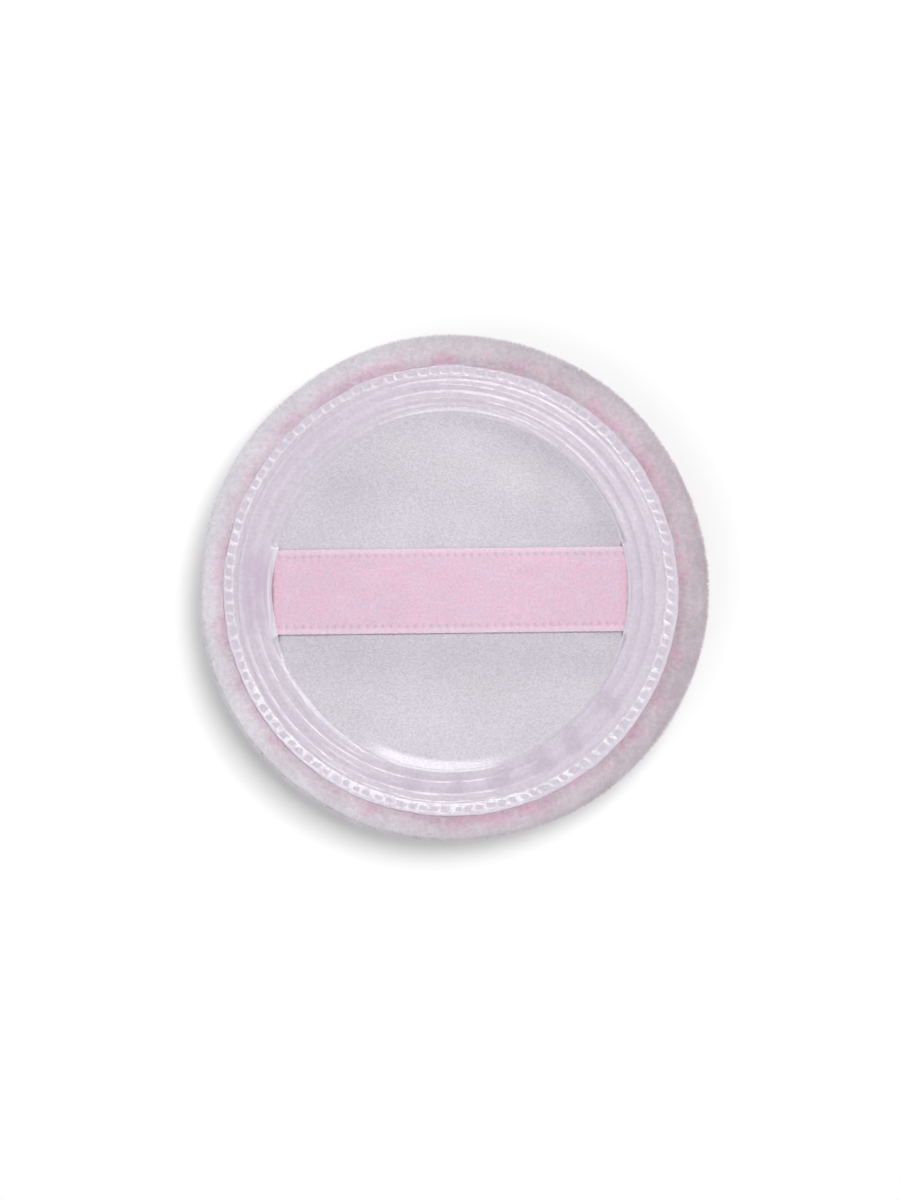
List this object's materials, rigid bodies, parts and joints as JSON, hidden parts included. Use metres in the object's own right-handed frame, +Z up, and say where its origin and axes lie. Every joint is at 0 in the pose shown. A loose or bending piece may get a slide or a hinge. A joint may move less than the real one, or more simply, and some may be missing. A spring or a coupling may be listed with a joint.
{
  "type": "powder puff",
  "caption": "Round plush powder puff with a satin back, a ridged and knurled welded rim, and a ribbon finger strap that lifts off the back.",
  "frame": {"origin": "on the table under the middle of the plush face", "axes": "+Z up through the back, +X along the ribbon"},
  "size_m": [0.06, 0.06, 0.0091],
  "materials": {
    "velour": "deep soft velour pile, pale lilac white with pink in its roots",
    "foam": "open-cell soft foam",
    "weld_film": "glossy milky translucent film",
    "satin": "fine satin, pale lilac grey, soft sheen",
    "ribbon": "pink satin tape with stitched selvedges, soft sheen"
  },
  "bodies": {
    "pad": {"velour_face": "velour", "foam_core": "foam", "weld_film": "weld_film", "back_panel": "satin", "weld_rim": "weld_film", "ribbon_tail_left": "ribbon", "ribbon_tail_right": "ribbon"},
    "strap": {"ribbon_strap": "ribbon"}
  },
  "joints": [
    {"name": "ribbon_lift", "type": "slide", "parent": "pad", "child": "strap", "axis": [0, 0, 1], "range_m": [0, 0.005]}
  ]
}
